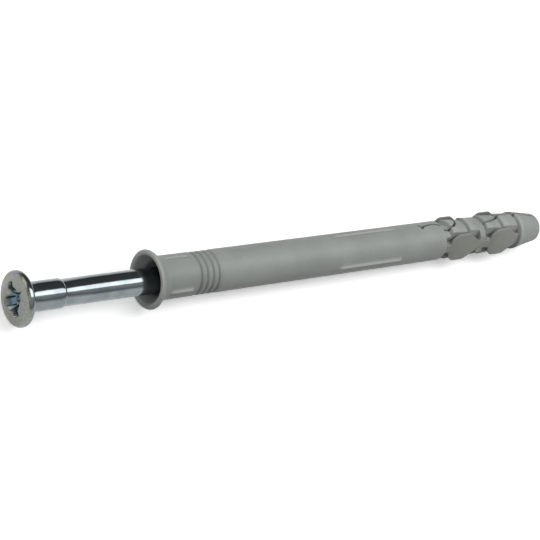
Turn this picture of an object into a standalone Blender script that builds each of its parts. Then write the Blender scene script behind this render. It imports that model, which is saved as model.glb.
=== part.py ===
"""Hammer fixing: a one-piece nylon sleeve and the steel nail that stands in its bore.

Metres, +Z up. Both lie along +X with the nail's head at -X and the sleeve's split tip at +X, resting
on the collar's rim and rolled over to where a corner of a leaf plate stops them. Everything is drawn in
the sleeve's own frame, with its leaf plates at -Y and +Y, and hangs on the axis, which has that roll.
Distances "from the seat" run along +X from the collar's underside, the plane that meets the fixture;
the collar and the nail's head have negative ones.
"""

from math import cos, pi, radians, sin, tau

import bmesh
import bpy
from mathutils import Matrix, Vector

# Sleeve: collar, bore and shaft
SLEEVE_LENGTH = 0.1200
SHAFT_RADIUS = 0.0048
COLLAR_RADIUS = 0.0065
COLLAR_RIM = 0.0010
COLLAR_LIP = 0.0012
FLARE_LENGTH = 0.0029
MOUTH_DEPTH = 0.0022
BORE_CLEARANCE = 0.0003
PILOT_BORE_RADIUS = 0.0013
BORE_TAPER_GAP = 0.0037
BORE_TAPER_LENGTH = 0.0050

# Sleeve: ring grooves under the collar
GROOVE_START = 0.0101
GROOVE_PITCH = 0.00157
GROOVE_COUNT = 4
GROOVE_DEPTH = 0.00028

# Sleeve: wedge ribs, four round the shaft, in a row under the collar and a row at mid-shaft
RIB_COUNT = 4
RIB_HEIGHT = 0.00034
RIB_CREST_ANGLE = radians(-6)
RIB_FLANK = radians(16)
COLLAR_RIB_START = 0.0012
COLLAR_RIB_END = 0.0093
SHAFT_RIB_LENGTH = 0.0213
SHAFT_RIB_GAP = 0.0142
RIB_RUN_IN = 0.0020
RIB_RUN_OUT = 0.0012

# Sleeve: expansion zone, a fixed length at the tip end whose parts are placed from the shaft's end
EXPANSION_LENGTH = 0.0353
CORE_RADIUS = 0.00412
TOOTH_HEIGHT = 0.00055
TOOTH_RISE = 0.00070
TOOTH_GAP = 0.0022
TOOTH_PITCH = 0.00596
TOOTH_COUNT = 4
LEAF_FACE = 0.00435
LEAF_THICKNESS = 0.00062
LEAF_BEVEL = 0.00020
LEAF_HALF_WIDTH = 0.0037
LEAF_ROOT_HALF_WIDTH = 0.0011
LEAF_CORNER = 0.0005
WEB_HALF_WIDTH = 0.0013
POCKET_FLOOR = 0.00285
POST_GAP = 0.0119
POST_LENGTH = 0.0013
LOBE_PITCH = 0.0138
LOBE_GAP = 0.0012
LOBE_RISE = 0.0024
LOBE_FLAT = 0.0040
LOBE_FALL = 0.0040
SLIT_WIDTH = 0.00042
SLIT_FLOOR = 0.0010

# Sleeve: bullet tip
TIP_START_RADIUS = 0.00475
TIP_CONE_RADIUS = 0.0039
TIP_CORNER = 0.0011

# Nail
SHANK_RADIUS = 0.00292
NECK_RADIUS = 0.00317
NECK_LENGTH = 0.0086
HEAD_RADIUS = 0.00590
HEAD_DOME = 0.0005
HEAD_BAND = 0.0019
NAIL_DROP = 0.00055
NAIL_LENGTH = 0.1140
POINT_LENGTH = 0.0042
THREAD_LENGTH = 0.0631
THREAD_PITCH = 0.0034
THREAD_DEPTH = 0.00042
THREAD_ROWS_PER_TURN = 4
RECESS_RADIUS = 0.0038
RECESS_DEPTH = 0.0030
RECESS_ARM_WIDTH = 0.0017
RECESS_CORE_RADIUS = 0.0022
RECESS_TURN = radians(46)

# Faceting
SLEEVE_SEGMENTS = 48
NAIL_SEGMENTS = 40
THREAD_SEGMENTS = 24
FACET_TWIST = radians(2.3)

OVERLAP = 0.0004
REST_ROLL = radians(18.4)
AXIS_HEIGHT = COLLAR_RADIUS * cos(pi / SLEEVE_SEGMENTS)
NAIL_OFFSET = (0.0, NAIL_DROP * sin(REST_ROLL), -NAIL_DROP * cos(REST_ROLL))
BORE_RADIUS = SHANK_RADIUS + NAIL_DROP + BORE_CLEARANCE
SHAFT_END = SLEEVE_LENGTH - EXPANSION_LENGTH
SHAFT_RIB_END = SHAFT_END - SHAFT_RIB_GAP
TOOTH_START = SHAFT_END + TOOTH_GAP
TIP_START = TOOTH_START + TOOTH_COUNT * TOOTH_PITCH
LOBE_START = SHAFT_END + LOBE_GAP
POST_START = SHAFT_END + POST_GAP
BORE_TAPER_START = SHAFT_END - BORE_TAPER_GAP
NAIL_POINT = BORE_TAPER_START + POINT_LENGTH / 2
THREAD_START = NAIL_POINT - THREAD_LENGTH
HEAD_SEAT = NAIL_POINT - NAIL_LENGTH
HEAD_TOP = HEAD_SEAT - HEAD_BAND - HEAD_DOME
SEAT_X = -(HEAD_TOP + SLEEVE_LENGTH) / 2

# The slit between the two half shells, seen from above: distance from the shaft's end, offset towards
# -Y. It starts with a small hook in the shaft, waves so that each shell grips round the other's teeth,
# and ends short of the tip.
SLIT_PATH = [
    (-0.0071, -0.0004), (-0.0067, 0.0008), (-0.0057, 0.0001), (-0.0030, -0.0003), (-0.0015, 0.0001),
    (-0.0001, 0.0008), (0.0022, 0.0015), (0.0039, 0.0011), (0.0051, 0.0001), (0.0058, -0.0018),
    (0.0103, -0.0025), (0.0136, -0.0017), (0.0138, 0.0009), (0.0145, 0.0013), (0.0165, 0.0011),
    (0.0191, 0.0003), (0.0208, -0.0007), (0.0238, -0.0011), (0.0257, -0.0012), (0.0260, 0.0000),
    (0.0268, -0.0006), (0.0333, 0.0001),
]


def collection(name):
    made = bpy.data.collections.new(name)
    bpy.context.scene.collection.children.link(made)
    return made


def clear_scene():
    for obj in list(bpy.data.objects):
        bpy.data.objects.remove(obj, do_unlink=True)


def material(name, colour, roughness, metallic):
    made = bpy.data.materials.new(name)
    made.use_nodes = True
    shader = made.node_tree.nodes["Principled BSDF"]
    shader.inputs["Base Color"].default_value = (*colour, 1.0)
    shader.inputs["Roughness"].default_value = roughness
    shader.inputs["Metallic"].default_value = metallic
    return made


def add_object(name, data, target, axis):
    """Link a new object to a collection and hang it on the sleeve's axis."""
    made = bpy.data.objects.new(name, data)
    target.objects.link(made)
    made.parent = axis
    if target.name == "cutters":
        made.hide_render = True
        made.display_type = "WIRE"
    return made


def turned(name, profile, segments, target, axis, closed):
    """A profile of (distance from the seat, radius) points turned round the axis with a Screw modifier.

    The profile is drawn in the XZ plane with the distance running down Z, so it goes down the outside,
    and the object is then laid over so that its -Z points along +X.
    """
    count = len(profile)
    edges = [(i, (i + 1) % count) for i in range(count if closed else count - 1)]
    mesh = bpy.data.meshes.new(name)
    mesh.from_pydata([(radius, 0.0, -along) for along, radius in profile], edges, [])
    made = add_object(name, mesh, target, axis)
    made.rotation_euler = (0.0, -pi / 2, 0.0)
    screw = made.modifiers.new("turn", "SCREW")
    screw.axis = "Z"
    screw.angle = tau
    screw.steps = screw.render_steps = segments
    screw.use_merge_vertices = True
    screw.merge_threshold = 0.000001
    screw.use_smooth_shade = True
    return made


def loft(name, rings, target, axis):
    """A closed body through rings of equally many points, each ring capped by a face at the ends."""
    size = len(rings[0])
    vertices = [point for ring in rings for point in ring]
    faces = [tuple(range(size)), tuple(reversed(range(len(vertices) - size, len(vertices))))]
    for start in range(0, len(vertices) - size, size):
        for i in range(size):
            j = (i + 1) % size
            faces.append((start + i, start + size + i, start + size + j, start + j))
    mesh = bpy.data.meshes.new(name)
    mesh.from_pydata(vertices, [], faces)
    bm = bmesh.new()
    bm.from_mesh(mesh)
    bmesh.ops.recalc_face_normals(bm, faces=bm.faces)
    bm.to_mesh(mesh)
    bm.free()
    return add_object(name, mesh, target, axis)


def slab(name, outline, thickness, placement, target, axis):
    """A flat outline as a filled 2D curve with thickness, made a mesh so that booleans can use it."""
    curve = bpy.data.curves.new(name, "CURVE")
    curve.dimensions = "2D"
    curve.fill_mode = "BOTH"
    curve.extrude = thickness / 2
    spline = curve.splines.new("POLY")
    spline.points.add(len(outline) - 1)
    for point, (x, y) in zip(spline.points, outline):
        point.co = (x, y, 0.0, 1.0)
    spline.use_cyclic_u = True
    flat = bpy.data.objects.new(name + "_outline", curve)
    bpy.context.scene.collection.objects.link(flat)
    bpy.context.view_layer.update()
    mesh = bpy.data.meshes.new_from_object(flat.evaluated_get(bpy.context.evaluated_depsgraph_get()))
    bpy.data.objects.remove(flat, do_unlink=True)
    bm = bmesh.new()
    bm.from_mesh(mesh)
    bmesh.ops.remove_doubles(bm, verts=bm.verts, dist=0.000001)
    bmesh.ops.dissolve_limit(bm, angle_limit=radians(0.5), verts=bm.verts, edges=bm.edges)
    bmesh.ops.recalc_face_normals(bm, faces=bm.faces)
    bm.to_mesh(mesh)
    bm.free()
    made = add_object(name, mesh, target, axis)
    made.matrix_basis = placement
    return made


def combine(obj, other, operation):
    boolean = obj.modifiers.new(f"{operation.lower()} {other.name}", "BOOLEAN")
    boolean.operation = operation
    boolean.solver = "EXACT"
    boolean.object = other


def rounded(path, radius, steps=3):
    """The path with each inner corner replaced by a short curve that starts one radius before it."""
    points = [Vector(path[0])]
    for before, corner, after in zip(map(Vector, path), map(Vector, path[1:]), map(Vector, path[2:])):
        reach_in = min(radius, (before - corner).length / 2.2)
        reach_out = min(radius, (after - corner).length / 2.2)
        first = corner + (before - corner).normalized() * reach_in
        last = corner + (after - corner).normalized() * reach_out
        for k in range(steps + 1):
            t = k / steps
            points.append(first * (1 - t) ** 2 + corner * 2 * t * (1 - t) + last * t**2)
    return points + [Vector(path[-1])]


def upright(side, height):
    """Lay a slab flat at a height over the axis: its x along the axis, its y towards -Y."""
    flip = Matrix.Rotation(pi if side < 0 else 0.0, 4, "X")
    return flip @ Matrix.Translation((0.0, 0.0, height)) @ Matrix.Diagonal((1.0, -1.0, 1.0, 1.0))


def facing_side(side, distance):
    """Stand a slab up against the side at -Y (side 1) or +Y (side -1), its y along Z."""
    turn = Matrix.Rotation(0.0 if side > 0 else pi, 4, "X")
    return turn @ Matrix.Translation((0.0, -distance, 0.0)) @ Matrix.Rotation(pi / 2, 4, "X")


def collar_profile():
    """Conical mouth, rounded rim and the flare under the collar, from the bore out to the shaft."""
    rim = COLLAR_RIM / 2
    lip = COLLAR_RADIUS - COLLAR_LIP
    points = [(MOUTH_DEPTH - COLLAR_RIM, BORE_RADIUS), (-0.7 * COLLAR_RIM, lip),
              (-COLLAR_RIM, lip + 0.3 * COLLAR_RIM)]
    for step in range(5):
        angle = radians(90 - 45 * step)
        points.append((-rim - rim * sin(angle), COLLAR_RADIUS - rim + rim * cos(angle)))
    top = points[-1][1]
    for step in range(1, 6):
        angle = radians(90 * step / 5)
        points.append((FLARE_LENGTH * (1 - cos(angle)), top - (top - SHAFT_RADIUS) * sin(angle)))
    return points


def groove_profile():
    points = []
    for i in range(GROOVE_COUNT):
        start = GROOVE_START + i * GROOVE_PITCH
        points += [(start, SHAFT_RADIUS), (start + 0.3 * GROOVE_PITCH, SHAFT_RADIUS - GROOVE_DEPTH),
                   (start + 0.6 * GROOVE_PITCH, SHAFT_RADIUS - 0.3 * GROOVE_DEPTH)]
    return points + [(GROOVE_START + GROOVE_COUNT * GROOVE_PITCH, SHAFT_RADIUS)]


def core_profile():
    """The shaft's end, then saw teeth whose steep sides face the head and hold against pull-out."""
    points = [(SHAFT_END - 0.0003, SHAFT_RADIUS), (SHAFT_END, CORE_RADIUS)]
    for i in range(TOOTH_COUNT):
        start = TOOTH_START + i * TOOTH_PITCH
        points += [(start, CORE_RADIUS), (start + TOOTH_RISE, CORE_RADIUS + TOOTH_HEIGHT)]
    return points + [(TIP_START, CORE_RADIUS)]


def tip_profile():
    """The bullet tip: a slow cone, a round corner and the flat end with the pilot bore."""
    points = [(TIP_START + TOOTH_RISE, TIP_START_RADIUS)]
    for step in range(6):
        angle = radians(18 * step)
        points.append((SLEEVE_LENGTH - TIP_CORNER + TIP_CORNER * sin(angle),
                       TIP_CONE_RADIUS - TIP_CORNER + TIP_CORNER * cos(angle)))
    return points + [(SLEEVE_LENGTH, PILOT_BORE_RADIUS)]


def bore_profile():
    """The bore narrows under the nail's point, so that driving the nail spreads the shells."""
    return [(BORE_TAPER_START + BORE_TAPER_LENGTH, PILOT_BORE_RADIUS), (BORE_TAPER_START, BORE_RADIUS)]


def rib_rings(start, end, centre):
    """Wedge section: a wide sloping flank up to a sharp crest, sunk at both ends of the rib."""
    base = SHAFT_RADIUS - OVERLAP
    sunk = SHAFT_RADIUS - OVERLAP / 4
    stations = [(start, sunk), (start + RIB_RUN_IN, SHAFT_RADIUS + RIB_HEIGHT),
                (end - RIB_RUN_OUT, SHAFT_RADIUS + RIB_HEIGHT), (end, sunk)]
    low = centre + RIB_CREST_ANGLE
    high = low + RIB_FLANK
    rings = []
    for along, crest in stations:
        section = [(base, low), (crest, low), (sunk, high), (base, high)]
        rings.append([(along, -radius * cos(angle), radius * sin(angle)) for radius, angle in section])
    return rings


def leaf_rings(side):
    """One leaf plate: two lobes, each a chamfered hexagon, joined by a narrow neck."""
    wide, narrow = LEAF_HALF_WIDTH, LEAF_ROOT_HALF_WIDTH
    edge = [(SHAFT_END - OVERLAP, narrow)]
    for lobe in range(2):
        start = LOBE_START + lobe * LOBE_PITCH
        edge += [(start, narrow), (start + 0.14 * LOBE_RISE, narrow + 0.45 * (wide - narrow)),
                 (start + LOBE_RISE, wide), (start + LOBE_RISE + LOBE_FLAT, wide),
                 (start + LOBE_RISE + LOBE_FLAT + LOBE_FALL, narrow)]
    under = LEAF_FACE - LEAF_THICKNESS
    rings = []
    for along, half in rounded(edge, LEAF_CORNER):
        section = [(under, -half), (LEAF_FACE - LEAF_BEVEL, -half), (LEAF_FACE, LEAF_BEVEL - half),
                   (LEAF_FACE, half - LEAF_BEVEL), (LEAF_FACE - LEAF_BEVEL, half), (under, half)]
        rings.append([(along, -side * out, side * up) for out, up in section])
    return rings


def slit_outline():
    """The slit's path widened to both sides along its own normal."""
    path = [Vector((SHAFT_END + along, offset)) for along, offset in SLIT_PATH]
    left, right = [], []
    for i, point in enumerate(path):
        run = (path[min(i + 1, len(path) - 1)] - path[max(i - 1, 0)]).normalized()
        side = Vector((-run.y, run.x)) * SLIT_WIDTH / 2
        left.append(point + side)
        right.append(point - side)
    return left + right[::-1]


def build_sleeve(parts, cutters, axis):
    profile = collar_profile() + groove_profile() + core_profile() + tip_profile() + bore_profile()
    sleeve = turned("sleeve", profile, SLEEVE_SEGMENTS, parts, axis, closed=True)
    sleeve.rotation_euler.rotate_axis("Z", REST_ROLL + pi / SLEEVE_SEGMENTS)
    for row, (start, end) in enumerate([(COLLAR_RIB_START, COLLAR_RIB_END),
                                        (SHAFT_RIB_END - SHAFT_RIB_LENGTH, SHAFT_RIB_END)]):
        for i in range(RIB_COUNT):
            rings = rib_rings(start, end, i * tau / RIB_COUNT)
            combine(sleeve, loft(f"rib_{row}_{i}", rings, cutters, axis), "UNION")
    for side in (1, -1):
        add_leaf(sleeve, side, cutters, axis)
        slit_height = 2 * SHAFT_RADIUS
        slit = slab(f"slit_{side}", slit_outline(), slit_height,
                    upright(side, SLIT_FLOOR + slit_height / 2), cutters, axis)
        combine(sleeve, slit, "DIFFERENCE")
    return sleeve


def cut_beyond(sleeve, name, side, floor, corners, cutters, axis):
    """Take away what lies further out than a floor on one side, inside a rectangle of (x, z) corners."""
    (x0, z0), (x1, z1) = corners
    depth = SHAFT_RADIUS
    cutter = slab(name, [(x0, z0), (x1, z0), (x1, z1), (x0, z1)], depth,
                  facing_side(side, floor + depth / 2), cutters, axis)
    combine(sleeve, cutter, "DIFFERENCE")


def add_leaf(sleeve, side, cutters, axis):
    """Lay a leaf plate on the core, flat over it and with pockets under its two overhanging edges."""
    reach = 2 * SHAFT_RADIUS
    cut_beyond(sleeve, f"flat_{side}", side, LEAF_FACE - LEAF_THICKNESS / 2,
               ((SHAFT_END, -reach), (TIP_START, reach)), cutters, axis)
    for lobe, (start, end) in enumerate([(SHAFT_END, POST_START), (POST_START + POST_LENGTH, TIP_START)]):
        for edge in (1, -1):
            corners = ((start, edge * WEB_HALF_WIDTH), (end, edge * reach))
            cut_beyond(sleeve, f"pocket_{lobe}_{edge}_{side}", side, POCKET_FLOOR, corners, cutters, axis)
    combine(sleeve, loft(f"leaf_{side}", leaf_rings(side), cutters, axis), "UNION")


def nail_profile():
    """Pan head, thicker neck and plain shank, from the dome's centre to the start of the thread."""
    under = HEAD_SEAT
    band = HEAD_BAND / 2
    shoulder = HEAD_RADIUS - band * 0.9
    points = []
    for step in range(5):
        share = step / 5
        points.append((HEAD_TOP + HEAD_DOME * share**2, shoulder * share))
    for step in range(7):
        angle = radians(-90 + 180 * step / 6)
        points.append((under - band + band * sin(angle), shoulder + (HEAD_RADIUS - shoulder) * cos(angle)))
    neck_end = under + NECK_LENGTH
    bevel = NECK_RADIUS - SHANK_RADIUS
    shank_end = THREAD_START + OVERLAP
    return points + [(under, NECK_RADIUS + bevel), (under + bevel, NECK_RADIUS),
                     (neck_end, NECK_RADIUS), (neck_end + bevel, SHANK_RADIUS),
                     (THREAD_START, SHANK_RADIUS),
                     (shank_end, SHANK_RADIUS - THREAD_DEPTH), (shank_end, 0.0)]


def thread_rings():
    """Rings of the threaded stretch and the point: a buttress ridge that climbs with the angle."""
    core = SHANK_RADIUS - THREAD_DEPTH
    start = THREAD_START - OVERLAP
    row = THREAD_PITCH / THREAD_ROWS_PER_TURN
    shoulder = NAIL_POINT - POINT_LENGTH
    count = int((shoulder - start) / row)
    rings = []
    for k in range(count + 1):
        along = start + (shoulder - start) * k / count
        run_in = min(1.0, (along - start) / THREAD_PITCH, (shoulder - along) / THREAD_PITCH)
        ring = []
        for i in range(THREAD_SEGMENTS):
            angle = tau * i / THREAD_SEGMENTS
            phase = (along / THREAD_PITCH - angle / tau) % 1.0
            ridge = phase / 0.75 if phase < 0.75 else (1.0 - phase) / 0.25
            radius = core + THREAD_DEPTH * max(0.0, run_in) * ridge
            ring.append((along, radius * cos(angle), radius * sin(angle)))
        rings.append(ring)
    point_radius = core * 0.06
    rings.append([(NAIL_POINT, point_radius * cos(tau * i / THREAD_SEGMENTS),
                   point_radius * sin(tau * i / THREAD_SEGMENTS)) for i in range(THREAD_SEGMENTS)])
    return rings


def recess_arm_outline():
    """Side view of two opposite arms of the cross: steep flanks, then a blunt point."""
    half = [(HEAD_TOP - HEAD_DOME, RECESS_RADIUS * 1.04),
            (HEAD_TOP + 0.45 * RECESS_DEPTH, RECESS_RADIUS * 0.78),
            (HEAD_TOP + 0.65 * RECESS_DEPTH, RECESS_RADIUS * 0.40)]
    return half + [(HEAD_TOP + 0.8 * RECESS_DEPTH, 0.0)] + [(x, -y) for x, y in reversed(half)]


def recess_core_profile():
    """The recess's middle: a cone that opens the corners between the arms and goes deepest."""
    top = HEAD_TOP - HEAD_DOME
    return [(top, 0.0), (top, RECESS_CORE_RADIUS * 1.2),
            (HEAD_TOP + 0.85 * RECESS_DEPTH, RECESS_CORE_RADIUS * 0.55), (HEAD_TOP + RECESS_DEPTH, 0.0)]


def build_nail(parts, cutters, axis):
    nail = turned("nail", nail_profile(), NAIL_SEGMENTS, parts, axis, closed=False)
    nail.location = NAIL_OFFSET
    thread = loft("thread", thread_rings(), cutters, axis)
    thread.location = NAIL_OFFSET
    combine(nail, thread, "UNION")
    core = turned("recess_core", recess_core_profile(), THREAD_SEGMENTS, cutters, axis, closed=False)
    core.location = NAIL_OFFSET
    core.rotation_euler.rotate_axis("Z", FACET_TWIST)
    combine(nail, core, "DIFFERENCE")
    for i in range(2):
        placement = Matrix.Translation(NAIL_OFFSET) @ Matrix.Rotation(RECESS_TURN + pi / 2 * i, 4, "X")
        arms = slab(f"recess_arms_{i}", recess_arm_outline(), RECESS_ARM_WIDTH, placement, cutters, axis)
        combine(nail, arms, "DIFFERENCE")
    return nail


def main():
    clear_scene()
    parts = collection("hammer_fixing_plug")
    cutters = collection("cutters")
    axis = bpy.data.objects.new("plug_axis", None)
    parts.objects.link(axis)
    axis.location = (SEAT_X, 0.0, AXIS_HEIGHT)
    axis.rotation_euler = (-REST_ROLL, 0.0, 0.0)
    sleeve = build_sleeve(parts, cutters, axis)
    sleeve.data.materials.append(material("grey_nylon", (0.24, 0.26, 0.25), 0.45, 0.0))
    nail = build_nail(parts, cutters, axis)
    nail.data.materials.append(material("zinc_plated_steel", (0.62, 0.64, 0.66), 0.22, 1.0))


main()
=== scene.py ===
"""Looks of a hammer fixing: a grey nylon sleeve and the zinc-plated nail that stands in its bore.

Shapes are worked out in millimetres in the sleeve's own frame: distance from the seat (the collar's
underside) along X, and an angle round the axis that starts at -Y and climbs towards +Z. in_place()
puts them where the CAD parts lie, rolled over onto a corner of a leaf plate.
"""
from math import cos, pi, radians, sin

import bmesh
import bpy
import numpy as np
from mathutils import Matrix, Vector


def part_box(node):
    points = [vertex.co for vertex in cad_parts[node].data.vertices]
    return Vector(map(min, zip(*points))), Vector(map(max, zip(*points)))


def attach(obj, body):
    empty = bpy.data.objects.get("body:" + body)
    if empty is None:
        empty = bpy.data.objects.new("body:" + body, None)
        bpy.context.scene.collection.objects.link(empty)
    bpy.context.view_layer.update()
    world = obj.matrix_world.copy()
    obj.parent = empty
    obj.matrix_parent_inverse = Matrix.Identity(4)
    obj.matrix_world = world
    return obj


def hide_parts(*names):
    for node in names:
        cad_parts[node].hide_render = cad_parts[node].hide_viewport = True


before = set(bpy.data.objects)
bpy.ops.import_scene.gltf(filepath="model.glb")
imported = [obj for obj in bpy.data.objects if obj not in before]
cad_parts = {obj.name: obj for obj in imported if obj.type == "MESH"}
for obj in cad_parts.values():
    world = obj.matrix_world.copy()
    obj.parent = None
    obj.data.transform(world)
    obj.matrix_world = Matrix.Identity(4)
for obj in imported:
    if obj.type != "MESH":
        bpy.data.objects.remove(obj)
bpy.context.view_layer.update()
MM = 0.001

# Sizes in millimetres, near the CAD parts' own: edges and trim are a little off them
REST_ROLL = radians(18.4)
SLEEVE_LENGTH = 120.0
SHAFT_RADIUS = 4.8
COLLAR_RIM = 1.0
COLLAR_LIP = 1.2
FLARE_LENGTH = 3.7
MOUTH_DEPTH = 2.2
BORE_RADIUS = 3.77
PILOT_BORE_RADIUS = 1.3
BORE_TAPER = (81.0, 86.0)
GROOVE_START, GROOVE_PITCH, GROOVE_COUNT, GROOVE_DEPTH = 10.1, 1.57, 4, 0.45
RIB_HEIGHT, RIB_CRESTS, RIB_FLANK = 0.34, (87.0, 171.0), radians(16)
RIB_ROWS = ((1.2, 9.3), (49.2, 70.5))
RIB_RUN_IN, RIB_RUN_OUT, RIB_SUNK = 2.0, 1.2, 0.1
SHAFT_END = 84.7
CORE_RADIUS = 4.12
TOOTH_START, TOOTH_PITCH, TOOTH_COUNT, TOOTH_HEIGHT, TOOTH_RISE = 86.9, 5.96, 4, 0.66, 0.70
CREASE, GAP_RADIUS = 0.25, 3.75
TIP_START = TOOTH_START + TOOTH_COUNT * TOOTH_PITCH
TIP_START_RADIUS, TIP_CONE_RADIUS, TIP_CORNER = 4.75, 3.65, 1.4
LEAF_FACE, LEAF_THICKNESS, LEAF_BEVEL = 4.35, 0.62, 0.26
LEAF_HALF_WIDTH, LEAF_ROOT_HALF_WIDTH, LEAF_CORNER = 3.7, 1.1, 0.5
LOBE_START, LOBE_PITCH, LOBE_RISE, LOBE_FLAT, LOBE_FALL = 86.4, 13.8, 2.1, 3.8, 4.0
CORE_FLAT_DROP = 0.3
WEB_HALF_WIDTH, POCKET_FLOOR, POST_SPAN = 1.3, 2.85, (96.4, 98.4)
SLIT_WIDTH, SLIT_SAMPLES, SLIT_CLOSED, SLIT_SLACK = 0.56, 61, 0.12, 0.02
SLIT_PATH = np.array([
    (77.6, -0.4), (78.0, 0.8), (79.0, 0.1), (81.7, -0.3), (83.2, 0.1), (84.6, 0.8), (86.9, 1.5),
    (88.6, 1.1), (89.8, 0.1), (90.5, -1.8), (95.0, -2.5), (98.3, -1.7), (98.5, 0.9), (99.2, 1.3),
    (101.2, 1.1), (103.8, 0.3), (105.5, -0.7), (108.5, -1.1), (110.4, -1.2), (110.7, 0.0),
    (111.5, -0.6), (118.0, 0.1)])
SLIT_DEEP = 86.0
SLIT_FLOOR = np.array([(77.1, 3.93), (83.0, 3.93), (SLIT_DEEP, 2.4), (118.0, 2.4)])
SHANK_RADIUS, NECK_RADIUS, NECK_LENGTH = 2.92, 3.17, 8.6
HEAD_RADIUS, HEAD_DOME, HEAD_BAND, HEAD_SEAT = 5.90, 0.35, 1.9, -30.9
HEAD_TOP = HEAD_SEAT - HEAD_BAND - HEAD_DOME
RIM_DEPTH, RIM_EXPONENT = 0.45 * HEAD_BAND, 0.9
HEAD_SHOULDER = HEAD_RADIUS - RIM_DEPTH
NAIL_LENGTH, POINT_LENGTH = 114.0, 4.2
THREAD_START, THREAD_PITCH, THREAD_DEPTH, THREAD_LEAN = 20.0, 3.4, 0.42, 0.75
RECESS_RADIUS, RECESS_DEPTH, RECESS_CORE, RECESS_TURN = 3.8, 3.0, 2.4, radians(44)
RECESS_FOOT, RECESS_LIP = 1.3, 2.0

# Where mesh columns and rings stand: angles in degrees, distances along the axis in millimetres
SLIT_EDGE, SLIT_INNER = 3.4, 0.5
SLIT_BEND = (74.6, 77.2)
BODY_STEPS = (
    (FLARE_LENGTH + 0.2, 9.7, 0.3), (9.7, 17.0, 0.11), (17.0, 48.6, 1.5), (48.6, 51.6, 0.2),
    (51.6, 69.0, 1.5), (69.0, 70.9, 0.15), (70.9, 76.4, 0.8), (76.4, 84.2, 0.15),
    (84.2, 112.0, 0.12), (112.0, 118.8, 0.3))
WALL_FOOT, WALL_LIP = 14.7, 15.3

# Where the CAD parts lie
sleeve_low, sleeve_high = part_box("sleeve")
nail_low, nail_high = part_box("nail")
SEAT_X = sleeve_high.x - SLEEVE_LENGTH * MM
AXIS_HEIGHT = (sleeve_low.z + sleeve_high.z) / 2
COLLAR_RADIUS = AXIS_HEIGHT / MM
NAIL_DROP = (AXIS_HEIGHT - (nail_low.z + nail_high.z) / 2) / MM

# Colours, in linear light
WHITE = (1, 1, 1, 1)
NYLON = (0.260, 0.280, 0.265, 1), (0.305, 0.327, 0.309, 1)
LEAF_NYLON = (0.214, 0.223, 0.201, 1), (0.250, 0.259, 0.236, 1)
# Pale tone for the drawn scuffs, which are wear, and for the painted highlight on crests and the collar's
# rim
SCUFFED_AND_HIGHLIT_NYLON = (0.54, 0.56, 0.54, 1)
# Dark tone for painted shade in the slit, pockets and grooves
CREASE_SHADE_NYLON = (0.128, 0.139, 0.133, 1)
ZINC = (0.185, 0.210, 0.221, 1), (0.228, 0.254, 0.265, 1)
OLIVE_ZINC = (0.193, 0.203, 0.174, 1), (0.260, 0.268, 0.237, 1)
# Dark teal: a teal tint with painted shade in the head's recess
SHADED_TEAL_ZINC = (0.070, 0.124, 0.162, 1)
VIOLET_ZINC = (0.185, 0.178, 0.355, 1)
SPOTTED_ZINC = (0.30, 0.33, 0.42, 1)
FLOOR_TO_LIGHT, FLOOR_SEEN = (0.03, 0.03, 0.03, 1), (0.92, 0.92, 0.92, 1)

# The camera, in metres, and its lens in millimetres
CAMERA_PLACE = (-0.235728, -0.158413, 0.244615)
CAMERA_TARGET = (-0.013104, -0.00305, 0.008201)
CAMERA_ROLL, CAMERA_LENS, CAMERA_SENSOR = radians(35.25), 107.53, 36.0
FLOOR_HALF_WIDTH = 2.0


# Shape helpers

def smooth_step(start, end, value):
    """0 before start and 1 after end, with the cubic 3t^2 - 2t^3 between them."""
    t = np.clip((value - start) / (end - start), 0.0, 1.0)
    return t * t * (3.0 - 2.0 * t)


def eased(points, along, reach=0.07):
    """Straight runs between (distance, value) points, averaged over a short reach to ease the corners."""
    xs, values = np.array(points, float).T
    shifts = (-reach, -reach / 2, 0, reach / 2, reach)
    return sum(np.interp(along + shift, xs, values) for shift in shifts) / len(shifts)


def stations(spans):
    """Distances along the axis: an even step inside each (start, end, step) span."""
    places = np.unique(np.round(np.concatenate([np.arange(a, b, step) for a, b, step in spans]), 4))
    return places[np.concatenate([[True], np.diff(places) > 0.02])]


def in_place(points, drop=0.0):
    """Millimetres in the sleeve's own frame to metres in the part's frame: turned by the roll, then moved
    to the seat and the axis; drop lowers them, as the nail lies in the bottom of its bore."""
    x, y, z = np.moveaxis(np.asarray(points, float), -1, 0)
    c, s = cos(REST_ROLL), sin(REST_ROLL)
    across, height = (y * c + z * s) * MM, AXIS_HEIGHT + (z * c - y * s - drop) * MM
    return np.stack([SEAT_X + x * MM, across, height], -1)


def round_axis(along, radius, angle):
    """Points at a distance from the seat, a radius and an angle from -Y towards +Z, broadcast together."""
    along, radius, angle = np.broadcast_arrays(along, radius, angle)
    return np.stack([along, -radius * np.cos(angle), radius * np.sin(angle)], -1)


def turned(profile, angle):
    """A profile of (distance, radius) points carried round the axis through a row of angles."""
    return round_axis(profile[:, :1], profile[:, 1:], angle)


def grid_faces(rows, columns, wrap_rows):
    """Four-sided faces of a grid whose last column joins its first, and whose last row may too."""
    i = np.arange(rows if wrap_rows else rows - 1)[:, None]
    j = np.arange(columns)[None, :]
    next_i, next_j = (i + 1) % rows, (j + 1) % columns
    corners = (i * columns + j, next_i * columns + j, next_i * columns + next_j, i * columns + next_j)
    return np.stack([np.broadcast_to(c, (i.size, j.size)) for c in corners], -1).reshape(-1, 4)


def placed(name, data):
    """An object for a mesh, a lamp or the camera, linked into the scene."""
    made = bpy.data.objects.new(name, data)
    bpy.context.scene.collection.objects.link(made)
    return made


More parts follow.
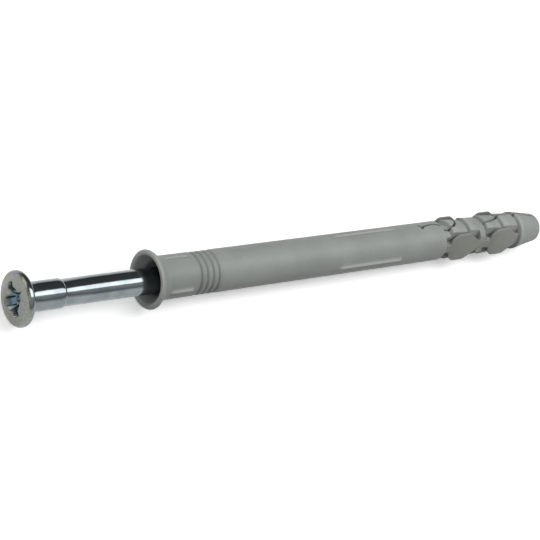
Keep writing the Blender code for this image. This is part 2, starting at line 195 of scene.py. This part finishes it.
def surface(name, points, wrap_rows=False, caps=False, sharp=35.0):
    """A mesh object from a grid of points (rows, columns, 3): closed round its columns, its rows joined
    in a ring, capped, or run to poles whose doubles are merged."""
    rows, columns = points.shape[:2]
    faces = grid_faces(rows, columns, wrap_rows).tolist()
    if caps:
        faces += [list(range(columns)), list(range((rows - 1) * columns, rows * columns))[::-1]]
    mesh = bpy.data.meshes.new(name)
    mesh.from_pydata(points.reshape(-1, 3).tolist(), [], faces)
    joined(mesh)
    mesh.shade_smooth()
    mesh.set_sharp_from_angle(angle=radians(sharp))
    return placed(name, mesh)


def joined(mesh):
    """Merge doubled points and drop the faces that collapse, so poles and seams are closed."""
    work = bmesh.new()
    work.from_mesh(mesh)
    bmesh.ops.remove_doubles(work, verts=work.verts, dist=1e-8)
    work.to_mesh(mesh)
    work.free()


# Sleeve

def collar_front():
    """Rim rounding and flare, from the rim's front edge to the shaft: half a circle and a quarter of an
    ellipse."""
    rim = COLLAR_RIM / 2
    turn = np.radians(np.linspace(90, -90, 15))
    edge = np.stack([-rim - rim * np.sin(turn), COLLAR_RADIUS - rim + rim * np.cos(turn)], -1)
    fall = np.radians(np.linspace(6, 90, 14))
    top = edge[-1, 1]
    flare = np.stack([FLARE_LENGTH * (1 - np.cos(fall)), top - (top - SHAFT_RADIUS) * np.sin(fall)], -1)
    return np.concatenate([edge, flare])


def tip_and_bore():
    """Rounded tip corner, end face, pilot bore, taper and bore, and the mouth's cone back to the rim."""
    turn = np.radians(np.linspace(0, 90, 12))
    corner = np.stack([SLEEVE_LENGTH - TIP_CORNER + TIP_CORNER * np.sin(turn),
                       TIP_CONE_RADIUS - TIP_CORNER + TIP_CORNER * np.cos(turn)], -1)
    pilot = [(SLEEVE_LENGTH, PILOT_BORE_RADIUS + 0.25), (SLEEVE_LENGTH - 0.06, PILOT_BORE_RADIUS + 0.08),
             (SLEEVE_LENGTH - 0.25, PILOT_BORE_RADIUS), (BORE_TAPER[1], PILOT_BORE_RADIUS)]
    foot = MOUTH_DEPTH - COLLAR_RIM
    bore = [(x, BORE_RADIUS) for x in (BORE_TAPER[0], 40.0, 20.0, 8.0, foot + 0.25)]
    lip = COLLAR_RADIUS - COLLAR_LIP
    mouth = [(foot - 0.1, BORE_RADIUS + 0.1), (0.6, BORE_RADIUS + 0.52), (-0.1, lip - 0.45),
             (-0.62, lip - 0.06), (-0.78, lip + 0.06), (-0.94, lip + 0.22), (-COLLAR_RIM, lip + 0.42)]
    return np.concatenate([corner, pilot, bore, mouth])


def turned_radius(along):
    """Radius of the plain turned form between flare and tip: the shaft with its ring grooves, the toothed
    core and the tip's cone."""
    points = [(0.0, SHAFT_RADIUS)]
    for i in range(GROOVE_COUNT):
        start = GROOVE_START + i * GROOVE_PITCH
        points += [(start + share * GROOVE_PITCH, SHAFT_RADIUS - deep * GROOVE_DEPTH)
                   for share, deep in ((0.0, 0.0), (0.12, 1.0), (0.30, 1.0), (0.52, 0.25))]
    points += [(GROOVE_START + GROOVE_COUNT * GROOVE_PITCH, SHAFT_RADIUS),
               (SHAFT_END - 0.25, SHAFT_RADIUS), (SHAFT_END, GAP_RADIUS)]
    root, crest = CORE_RADIUS - CREASE, CORE_RADIUS + TOOTH_HEIGHT
    for i in range(TOOTH_COUNT):
        start = TOOTH_START + i * TOOTH_PITCH
        end = start + TOOTH_PITCH
        points += [(start, root), (start + 0.55 * TOOTH_RISE, crest - 0.08), (start + TOOTH_RISE, crest),
                   (end - 0.40, CORE_RADIUS + 0.5 * TOOTH_HEIGHT), (end - 0.20, root)]
    points += [(TIP_START, root), (TIP_START + 0.6 * TOOTH_RISE, TIP_START_RADIUS - 0.05),
               (TIP_START + 1.2 * TOOTH_RISE, TIP_START_RADIUS),
               (SLEEVE_LENGTH - TIP_CORNER, TIP_CONE_RADIUS)]
    return eased(points, along)


def rib_radius(along, angle):
    """Four wedge ribs in two rows: a sharp crest at one side, sloping down over the flank's angle."""
    turn = np.minimum(*[(angle - radians(crest)) % pi for crest in RIB_CRESTS])
    low, top = SHAFT_RADIUS - RIB_SUNK, SHAFT_RADIUS + RIB_HEIGHT
    radius = np.zeros(np.broadcast_shapes(along.shape, turn.shape))
    for start, end in RIB_ROWS:
        crest = np.interp(along, [start, start + RIB_RUN_IN, end - RIB_RUN_OUT, end], [low, top, top, low])
        inside = (along > start) & (along < end) & (turn < RIB_FLANK)
        radius = np.where(inside, crest + (low - crest) * turn / RIB_FLANK, radius)
    return radius


def pocket_radius(along, angle, radius):
    """Under the leaf plates the core is cut flat, and webs stand up to them, with pockets beside and a post
    across. A flat face lies at its height over the cosine or sine of the angle, held away from zero."""
    least = 0.05
    side, up = np.maximum(np.abs(np.cos(angle)), least), np.maximum(np.abs(np.sin(angle)), least)
    between = (along > SHAFT_END) & (along < TIP_START)
    radius = np.where(between, np.minimum(radius, (LEAF_FACE - CORE_FLAT_DROP) / side), radius)
    inside = between & ~((along > POST_SPAN[0]) & (along < POST_SPAN[1]))
    web = np.minimum((LEAF_FACE - LEAF_THICKNESS / 2) / side, WEB_HALF_WIDTH / up)
    floor = np.minimum(radius, POCKET_FLOOR / side)
    return np.where(inside, np.minimum(radius, np.maximum(floor, web)), radius)


def slit_sides(along):
    """Lower and upper side of the slit, and where it is open: the path swept by a disc as wide as the
    slit, so it keeps its width round every bend. Past its ends the two sides close on them."""
    xs, offsets = SLIT_PATH.T
    half = SLIT_WIDTH / 2
    low, high = np.full(along.shape, np.inf), np.full(along.shape, -np.inf)
    for shift in np.linspace(-half, half, SLIT_SAMPLES):
        at = along + shift
        inside = (at >= xs[0]) & (at <= xs[-1])
        centre = np.interp(at, xs, offsets)
        reach = np.sqrt(max(half * half - shift * shift, 0.0))
        low = np.where(inside, np.minimum(low, centre - reach), low)
        high = np.where(inside, np.maximum(high, centre + reach), high)
    cut = np.isfinite(low)
    end = np.interp(along, xs, offsets)
    return np.where(cut, low, end - SLIT_CLOSED), np.where(cut, high, end + SLIT_CLOSED), cut


def sleeve_columns():
    """Angles round half a turn in degrees, crowded at the rib walls and at the slit's two sides."""
    even = np.arange(0.0, 180.0, 2.25)
    ribs = np.concatenate([[crest - 0.35, crest, crest + 0.5] for crest in RIB_CRESTS])
    edge, inner = SLIT_EDGE, SLIT_EDGE - SLIT_INNER
    slit = np.array([-edge - 0.6, -edge, -inner, -1.0, 0.0, 1.0, inner, edge, edge + 0.6]) + 90.0
    crowded = np.concatenate([ribs, slit])
    apart = np.min(np.abs(even[:, None] - crowded[None, :]), axis=1)
    return np.sort(np.concatenate([even[(apart > 0.3) & (np.abs(even - 90.0) > 3.0)], crowded]))


def sleeve_form():
    """Grid of the whole sleeve: a closed profile carried round the axis. Along the body the columns bend
    with the slit's sides, and the columns between them drop straight down to the slit's floor."""
    body = stations(BODY_STEPS)
    columns = sleeve_columns()
    base = turned_radius(body)
    low, high, cut = slit_sides(body)
    bent = smooth_step(*SLIT_BEND, body)
    first = np.degrees(np.arccos(np.clip(high / base, -1, 1))) * bent + (90 - SLIT_EDGE) * (1 - bent)
    last = np.degrees(np.arccos(np.clip(low / base, -1, 1))) * bent + (90 + SLIT_EDGE) * (1 - bent)
    straight = [0, 90 - SLIT_EDGE, 90 + SLIT_EDGE, 180]
    angle = np.radians([np.interp(columns, straight, [0, a, b, 180]) for a, b in zip(first, last)])
    along = body[:, None]
    radius = np.maximum(base[:, None], rib_radius(along, angle))
    points = round_axis(along, pocket_radius(along, angle, radius), angle)
    between = np.abs(columns - 90) < SLIT_EDGE - SLIT_INNER / 2
    share = (columns[between] - 90 + SLIT_EDGE - SLIT_INNER) / (2 * SLIT_EDGE - 2 * SLIT_INNER)
    share = np.clip(share, 0, 1)[None, :]
    offset = (high - SLIT_SLACK)[:, None] * (1 - share) + (low + SLIT_SLACK)[:, None] * share
    depth = np.interp(body, *SLIT_FLOOR.T)[:, None]
    rounded = (body < SLIT_DEEP)[:, None]
    height = np.sqrt(np.maximum(depth ** 2 - offset ** 2 * rounded, 1.0))
    slot = np.stack([np.broadcast_to(along, offset.shape), -offset, height], -1)
    points[:, between] = np.where(cut[:, None, None], slot, points[:, between])
    other_half = points * np.array([1.0, -1.0, -1.0])
    even = np.radians(np.concatenate([columns, columns + 180.0]))[None, :]
    start = collar_front()
    front = round_axis(start[:, :1], np.maximum(start[:, 1:], rib_radius(start[:, :1], even)), even)
    return np.concatenate([front, np.concatenate([points, other_half], axis=1),
                           turned(tip_and_bore(), even)])


def rounded_path(path, reach, steps=6, share=2.2):
    """Each inner corner of a path replaced by a quadratic curve that starts one reach before it, or a
    side's length over share where that is less."""
    path = np.array(path, float)
    points = [path[:1]]
    t = np.linspace(0, 1, steps)[:, None]
    for before, corner, after in zip(path, path[1:], path[2:]):
        into, out = before - corner, after - corner
        first = corner + into / np.hypot(*into) * min(reach, np.hypot(*into) / share)
        last = corner + out / np.hypot(*out) * min(reach, np.hypot(*out) / share)
        points.append(first * (1 - t) ** 2 + corner * 2 * t * (1 - t) + last * t ** 2)
    return np.concatenate(points + [path[-1:]])


def leaf_form(side):
    """One leaf plate: a flat section with rounded edges, carried along the outline of two lobes."""
    wide, narrow = LEAF_HALF_WIDTH, LEAF_ROOT_HALF_WIDTH
    outline = [(SHAFT_END - 0.4, narrow)]
    for lobe in range(2):
        start = LOBE_START + lobe * LOBE_PITCH
        full = start + LOBE_RISE
        outline += [(start, narrow), (start + 0.14 * LOBE_RISE, narrow + 0.45 * (wide - narrow)),
                    (full, wide), (full + LOBE_FLAT, wide), (full + LOBE_FLAT + LOBE_FALL, narrow)]
    path = rounded_path(outline, LEAF_CORNER)
    turn = np.radians(np.linspace(0, 90, 5))
    under = LEAF_FACE - LEAF_THICKNESS
    out = np.concatenate([[under], LEAF_FACE - LEAF_BEVEL + LEAF_BEVEL * np.sin(turn)])
    inset = np.concatenate([[0.0], LEAF_BEVEL * (1 - np.cos(turn))])
    along, half = path[:, :1], path[:, 1:]
    up = np.concatenate([inset - half, (half - inset)[:, ::-1]], axis=1)
    outs = np.broadcast_to(np.concatenate([out, out[::-1]]), up.shape)
    return np.stack([np.broadcast_to(along, up.shape), -side * outs, side * up], -1)


# Nail

def nail_columns():
    """Angles round the nail in degrees, as a whole and from the nearest recess arm's middle, crowded at
    the arm's walls."""
    half = np.array([0.0, 4.0, 8.0, 12.0, WALL_FOOT, WALL_LIP, 18.0, 22.0, 26.0, 30.0, 34.0, 38.0, 42.0])
    quarter = np.concatenate([-half[:0:-1], half])
    return np.concatenate([quarter + 90.0 * k for k in range(4)]), np.tile(quarter, 4)


def wall_angle(rho, width, most, even):
    """Angle of an arm's wall column: asin(half width / radius), never past most, and its even place
    outside the recess."""
    outside = smooth_step(RECESS_RADIUS, RECESS_RADIUS + 0.6, rho)
    sine = np.clip(width / 2 / np.maximum(rho, 0.01), 0, sin(radians(most)))
    return np.degrees(np.arcsin(sine)) * (1 - outside) + even * outside


def head_top(radii):
    """Grid of the head's top: a shallow dome cut by a cross recess. Each arm keeps its width at any radius
    because its wall columns are bent in to it, and is narrower at the foot than at the lip."""
    whole, local = nail_columns()
    rho = radii[:, None]
    foot = wall_angle(rho, RECESS_FOOT, 42.0, WALL_FOOT)
    lip = wall_angle(rho, RECESS_LIP, 43.5, WALL_LIP)
    size = np.abs(local)[None, :]
    inside = size < (WALL_FOOT + WALL_LIP) / 2
    outer = lip + (size - WALL_LIP) * (45.0 - lip) / (45.0 - WALL_LIP)
    bent = np.where(inside, size * foot / WALL_FOOT, outer)
    angle = np.radians((whole - local)[None, :] + np.sign(local)[None, :] * bent)
    dome = HEAD_TOP + HEAD_DOME * (rho / HEAD_SHOULDER) ** 3
    clear = HEAD_TOP - HEAD_DOME
    slope = [(share * RECESS_RADIUS, HEAD_TOP + deep * RECESS_DEPTH)
             for share, deep in ((0.0, 0.8), (0.40, 0.65), (0.78, 0.45))]
    arm = eased(slope + [(1.04 * RECESS_RADIUS, clear)], rho * np.cos(np.radians(bent)), 0.1)
    core = np.interp(rho, [0.0, 0.55 * RECESS_CORE, 1.2 * RECESS_CORE],
                     [HEAD_TOP + RECESS_DEPTH, HEAD_TOP + 0.85 * RECESS_DEPTH, clear])
    level = np.maximum(np.maximum(dome, core), np.where(inside, arm, -np.inf))
    at_lip = (size == WALL_LIP) & (arm > dome)
    return np.where(at_lip, np.maximum(level, dome + 0.08), level), angle + RECESS_TURN


def nail_form():
    """Grid of the whole nail: the head's top, its rolled rim, neck, shank, helical thread and point."""
    radii = np.concatenate([[0.0], np.arange(0.12, 4.6, 0.09), [4.8, HEAD_SHOULDER]])
    level, angle = head_top(radii)
    top = round_axis(level, radii[:, None], angle)
    even = np.radians(nail_columns()[0])[None, :] + RECESS_TURN
    band = HEAD_BAND / 2
    turn = np.radians(np.linspace(-76, 90, 20))
    rim = np.stack([HEAD_SEAT - band + band * np.sign(turn) * np.abs(np.sin(turn)) ** RIM_EXPONENT,
                    HEAD_SHOULDER + RIM_DEPTH * np.abs(np.cos(turn)) ** RIM_EXPONENT], -1)
    step = NECK_RADIUS - SHANK_RADIUS
    neck_end = HEAD_SEAT + NECK_LENGTH
    neck = [(HEAD_SEAT, NECK_RADIUS + 0.8), (HEAD_SEAT + 0.02, NECK_RADIUS + 0.35),
            (HEAD_SEAT + 0.15, NECK_RADIUS + 0.1), (HEAD_SEAT + 0.4, NECK_RADIUS),
            (HEAD_SEAT + 3.0, NECK_RADIUS), (neck_end - 0.9, NECK_RADIUS),
            (neck_end - 0.08, NECK_RADIUS), (neck_end, NECK_RADIUS - 0.04),
            (neck_end + 0.9 * step, SHANK_RADIUS + 0.03)]
    shank = [(x, SHANK_RADIUS)
             for x in (neck_end + 1.3 * step, -15.0, -8.0, 0.0, 10.0, THREAD_START - 0.5)]
    point_start = HEAD_SEAT + NAIL_LENGTH - POINT_LENGTH
    along = np.arange(THREAD_START, point_start, THREAD_PITCH / 12)[:, None]
    core = SHANK_RADIUS - THREAD_DEPTH
    run = np.clip(np.minimum(along - THREAD_START, point_start - along) / THREAD_PITCH, 0, 1)
    phase = (along / THREAD_PITCH - even / (2 * pi)) % 1.0
    ridge = np.where(phase < THREAD_LEAN, phase / THREAD_LEAN, (1.0 - phase) / (1.0 - THREAD_LEAN))
    thread = round_axis(along, core + THREAD_DEPTH * run * ridge, even)
    point = np.array([(point_start + 0.2, core), (point_start + POINT_LENGTH - 0.3, 0.3),
                      (point_start + POINT_LENGTH, 0.0)])
    return np.concatenate([top, turned(np.concatenate([rim, neck, shank]), even), thread,
                           turned(point, even)])


# Finishes

class Value:
    """A node's output used in sums: adding to it, taking from it or scaling it adds Math nodes behind it."""

    def __init__(self, finish, socket):
        self.finish, self.socket = finish, socket

    def sum(self, operation, *terms):
        return self.finish.node("ShaderNodeMath", {"operation": operation}, dict(enumerate(terms)))

    def __add__(self, other):
        return self.sum("ADD", self, other)

    def __mul__(self, other):
        return self.sum("MULTIPLY", self, other)

    def __sub__(self, other):
        return self.sum("SUBTRACT", self, other)

    def __rsub__(self, other):
        return self.sum("SUBTRACT", other, self)

    __radd__, __rmul__ = __add__, __mul__


class Finish:
    """A material or world whose nodes all come from node()."""

    def __init__(self, owner):
        owner.use_nodes = True
        self.owner, self.tree = owner, owner.node_tree
        self.tree.nodes.clear()

    def node(self, kind, settings=None, sockets=None, output=0):
        """Add a node: settings are set first, then its sockets get values or links."""
        made = self.tree.nodes.new(kind)
        for key, value in (settings or {}).items():
            setattr(made, key, value)
        for key, value in (sockets or {}).items():
            if isinstance(value, Value):
                self.tree.links.new(value.socket, made.inputs[key])
            else:
                made.inputs[key].default_value = value
        return Value(self, made.outputs[output]) if len(made.outputs) else made

    def coordinates(self, kind="Object"):
        return self.node("ShaderNodeTexCoord", output=kind)

    def vector(self, operation, *terms, output=0):
        return self.node("ShaderNodeVectorMath", {"operation": operation}, dict(enumerate(terms)), output)

    def parts_of(self, vector):
        """The x, y and z of a vector as three values."""
        split = self.node("ShaderNodeSeparateXYZ", sockets={0: vector}).socket.node
        return [Value(self, split.outputs[k]) for k in range(3)]

    def from_axis(self, place, drop=0.0):
        """A place's distance from the sleeve's axis, or from a line that lies drop millimetres lower."""
        across = self.vector("SUBTRACT", place, (0.0, 0.0, AXIS_HEIGHT - drop * MM))
        return self.vector("LENGTH", self.vector("MULTIPLY", across, (0.0, 1.0, 1.0)), output="Value")

    def fade(self, value, start, end, first=0.0, last=1.0):
        """Smooth change from first to last while the value goes from start to end."""
        return self.node("ShaderNodeMapRange", {"interpolation_type": "SMOOTHSTEP"},
                         {0: value, 1: start, 2: end, 3: first, 4: last})

    def past(self, x, start, end):
        """0 before start and 1 past end, both in millimetres from the seat."""
        return self.fade(x, SEAT_X + start * MM, SEAT_X + end * MM)

    def noise(self, place, per_mm, detail=3.0, roughness=0.5):
        """Cloudy noise with a number of lumps per millimetre."""
        return self.node("ShaderNodeTexNoise", None, {
            "Vector": place, "Scale": per_mm / MM, "Detail": detail, "Roughness": roughness})

    def mix(self, share, first, second):
        """Colours mixed by a share; 6 and 7 are the Mix node's colour inputs and 2 its colour output."""
        return self.node("ShaderNodeMix", {"data_type": "RGBA"}, {0: share, 6: first, 7: second}, output=2)

    def seen(self):
        """1 for what the camera sees, directly or in gloss or glass; 0 for light that falls on things."""
        return sum(self.node("ShaderNodeLightPath", output=name)
                   for name in ("Is Camera Ray", "Is Glossy Ray", "Is Transmission Ray"))

    def bump(self, height, distance, strength):
        """Bump with its height's distance in millimetres."""
        return self.node("ShaderNodeBump", None, {
            "Height": height, "Distance": distance * MM, "Strength": strength})

    def principled(self, **sockets):
        names = {key.replace("_", " "): value for key, value in sockets.items()}
        shader = self.node("ShaderNodeBsdfPrincipled", None, names)
        self.node("ShaderNodeOutputMaterial", None, {"Surface": shader})
        return self.owner


def grey_nylon(name, tones, tooth_highlight):
    """Moulded nylon between a dark and a pale tone: a fine satin grain and a few drawn scuffs, a painted
    highlight of the pale tone on the rib and tooth crests and the collar's rim, and painted shade in the
    slit, pockets and grooves."""
    finish = Finish(bpy.data.materials.new(name))
    place = finish.coordinates()
    x = finish.parts_of(place)[0]
    radius = finish.from_axis(place)
    cloud = finish.noise(place, per_mm=0.10, detail=2.0)
    speckle = finish.noise(place, per_mm=2.6)
    streak = finish.noise(finish.vector("MULTIPLY", place, (0.3, 1.0, 1.0)), per_mm=2.0)
    shaft = finish.past(x, 1.5, 3.5) * (1.0 - finish.past(x, 74.0, 78.0))
    split = finish.past(x, SHAFT_END - 0.4, SHAFT_END)
    # Painted highlight: the rib crests, the tooth crests and the collar's rim are mixed towards the pale
    # tone as if lit; the scuffs are wear
    ribs = finish.fade(radius, 4.85 * MM, 5.01 * MM) * shaft
    tooth_crest_highlight = finish.fade(radius, 4.60 * MM, 4.74 * MM) * split
    rim = 1.0 - finish.past(x, -0.9, -0.3)
    scuffs = finish.fade(streak, 0.64, 0.74)
    scuffs_and_highlight = scuffs * 0.15 + (ribs + tooth_crest_highlight * tooth_highlight) * 0.6 + rim * 0.65
    # Painted shade: what lies sunk below the floor line in the grooves, slit and pockets is darkened
    floor = finish.fade(split, 0.0, 1.0, first=4.45 * MM, last=3.35 * MM)
    sunk = 1.0 - finish.fade(radius - floor, 0.0, 0.3 * MM)
    grooves, slots = finish.past(x, 9.0, 9.5), finish.past(x, 70.0, 71.0)
    crease_shade = sunk * (grooves * 0.3 + slots * 0.7 - finish.past(x, 117.0, 118.0))
    colour = finish.mix(finish.fade(0.7 * cloud + 0.3 * speckle, 0.35, 0.65), *tones)
    colour = finish.mix(scuffs_and_highlight, colour, SCUFFED_AND_HIGHLIT_NYLON)
    colour = finish.mix(crease_shade * 0.65, colour, CREASE_SHADE_NYLON)
    rough = 0.45 + 0.08 * speckle + 0.05 * cloud
    grain = finish.noise(place, per_mm=6.0, detail=2.0) * 0.5 + streak * 0.3
    return finish.principled(Base_Color=colour, Roughness=rough, Specular_IOR_Level=0.35,
                             Normal=finish.bump(grain, distance=0.012, strength=0.4))


def zinc_plate():
    """Zinc on drawn wire, held darker than bright zinc so that a white floor doesn't wash it out: long
    drawing marks and a bluish cast. The head's top is duller, olive with violet stains as chromated zinc
    is, and its recess is a teal tint darkened as painted shade."""
    finish = Finish(bpy.data.materials.new("zinc_plated_steel"))
    place = finish.coordinates()
    x = finish.parts_of(place)[0]
    radius = finish.from_axis(place, NAIL_DROP)
    drawn = finish.vector("MULTIPLY", place, (0.06, 1.0, 1.0))
    marks = finish.noise(drawn, per_mm=3.5, detail=5.0, roughness=0.6)
    cloud = finish.noise(place, per_mm=0.3)
    spots = finish.noise(place, per_mm=1.8, detail=4.0, roughness=0.65)
    stains = finish.noise(place, per_mm=0.42, detail=2.0)
    head = 1.0 - finish.past(x, HEAD_SEAT - 0.2, HEAD_SEAT + 0.4)
    deep = finish.past(x, HEAD_TOP + 0.35, HEAD_TOP + 1.1)
    # Painted shade: the recess below the head's dome is darkened to dark teal
    recess = head * deep * (1.0 - finish.fade(radius, 4.0 * MM, 4.3 * MM))
    top = 1.0 - finish.past(x, HEAD_SEAT - 0.9 * HEAD_BAND, HEAD_SEAT - 0.3 * HEAD_BAND)
    colour = finish.mix(finish.fade(cloud, 0.35, 0.68), *ZINC)
    colour = finish.mix(top, colour, finish.mix(finish.fade(spots, 0.3, 0.7), *OLIVE_ZINC))
    colour = finish.mix(recess * 0.8, colour, SHADED_TEAL_ZINC)
    colour = finish.mix(finish.fade(stains, 0.54, 0.66) * top * 0.35, colour, VIOLET_ZINC)
    colour = finish.mix(finish.fade(spots, 0.56, 0.74) * 0.3, colour, SPOTTED_ZINC)
    rough = 0.06 + 0.10 * marks + 0.05 * spots
    height = marks * 0.9 + spots * 0.5
    return finish.principled(Base_Color=colour, Metallic=1.0, Roughness=rough,
                             Normal=finish.bump(height, distance=0.006, strength=0.5))


def pale_floor():
    """Plain floor: it takes the object's shadow, and the camera, gloss and glass see it nearly white, with
    a glow that grows far from the object, as a studio sweep's does. It throws hardly any light back."""
    finish = Finish(bpy.data.materials.new("pale_floor"))
    seen = finish.seen()
    far = finish.vector("LENGTH", finish.coordinates(), output="Value")
    lift = finish.fade(far, 0.25, 1.1, first=0.36, last=0.75)
    tone = finish.mix(seen, FLOOR_TO_LIGHT, FLOOR_SEEN)
    matt = finish.node("ShaderNodeBsdfDiffuse", None, {"Color": tone})
    glow = finish.node("ShaderNodeEmission", None, {"Color": WHITE, "Strength": seen * lift})
    both = finish.node("ShaderNodeAddShader", None, {0: matt, 1: glow})
    finish.node("ShaderNodeOutputMaterial", None, {"Surface": both})
    return finish.owner


# Studio

def softbox(name, width, height, watts, place, target):
    """A soft lamp that faces the target, its width laid as nearly along X as its facing allows."""
    data = bpy.data.lights.new(name, "AREA")
    data.shape, data.size, data.size_y, data.energy = "RECTANGLE", width, height, watts
    back = (Vector(place) - Vector(target)).normalized()
    side = (Vector((1, 0, 0)) - back * back.x).normalized()
    facing = Matrix((side, back.cross(side), back)).transposed().to_4x4()
    placed(name, data).matrix_world = Matrix.Translation(place) @ facing


def studio_sky():
    """Soft room light: pale above the front, dimmer to the left and behind, and darkest behind the tip;
    what is seen along the horizon is the white of the floor."""
    finish = Finish(bpy.data.worlds.new("studio_sky"))
    x, y, z = finish.parts_of(finish.coordinates("Generated"))
    front = finish.fade(y, 0.05, -0.42, first=0.135, last=0.65) * finish.fade(z, 0.0, 0.62, first=0.08)
    left = finish.fade(x, -0.2, -0.9, last=0.32) * finish.fade(z, -0.1, 0.5, first=0.3)
    back = finish.fade(x, 0.4, -0.2, last=0.32) * finish.fade(y, -0.1, 0.5)
    horizon = finish.seen() * (1.0 - finish.fade(z, 0.10, 0.28))
    level = (front + left + back) * (1.0 - horizon) + horizon
    light = finish.node("ShaderNodeBackground", None, {"Color": WHITE, "Strength": level})
    finish.node("ShaderNodeOutputWorld", None, {"Surface": light})
    bpy.context.scene.world = finish.owner


def camera():
    """The camera at its place, looking at its target and turned about its own line of sight."""
    lens = bpy.data.cameras.new("camera")
    lens.sensor_width, lens.lens = CAMERA_SENSOR, CAMERA_LENS
    lens.clip_start = 0.01
    made = placed("camera", lens)
    look = (Vector(CAMERA_TARGET) - Vector(CAMERA_PLACE)).to_track_quat("-Z", "Y").to_matrix().to_4x4()
    made.matrix_world = Matrix.Translation(CAMERA_PLACE) @ look @ Matrix.Rotation(CAMERA_ROLL, 4, "Z")
    bpy.context.scene.camera = made


def studio():
    """The floor, the room's light, two soft lamps and the camera."""
    mesh = bpy.data.meshes.new("floor")
    half = FLOOR_HALF_WIDTH
    mesh.from_pydata([(-half, -half, 0), (half, -half, 0), (half, half, 0), (-half, half, 0)], [],
                     [(0, 1, 2, 3)])
    floor = placed("floor", mesh)
    mesh.materials.append(pale_floor())
    studio_sky()
    softbox("overhead_softbox", width=0.7, height=0.27, watts=2.2,
            place=(0.32, -0.137, 0.45), target=(0.32, 0.0, 0.0))
    softbox("rear_fill", width=0.8, height=0.5, watts=1.2,
            place=(-0.50, 0.36, 0.48), target=(0.0, 0.0, 0.0))
    camera()
    bpy.context.scene.view_settings.view_transform = "Standard"


def main():
    nylon = grey_nylon("grey_nylon", NYLON, tooth_highlight=0.3)
    leaf_nylon = grey_nylon("leaf_nylon", LEAF_NYLON, tooth_highlight=0.0)
    zinc = zinc_plate()
    sleeve = surface("sleeve_body", in_place(sleeve_form()), wrap_rows=True)
    leaves = [surface(f"leaf_plate_{i}", in_place(leaf_form(side)), caps=True)
              for i, side in enumerate((1, -1))]
    nail = surface("nail_body", in_place(nail_form(), NAIL_DROP))
    dressed = [(sleeve, nylon, "sleeve")]
    dressed += [(leaf, leaf_nylon, "sleeve") for leaf in leaves]
    dressed += [(nail, zinc, "nail")]
    for piece, finish, slot in dressed:
        piece.data.materials.append(finish)
        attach(piece, "root")
        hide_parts(slot)
    studio()


main()
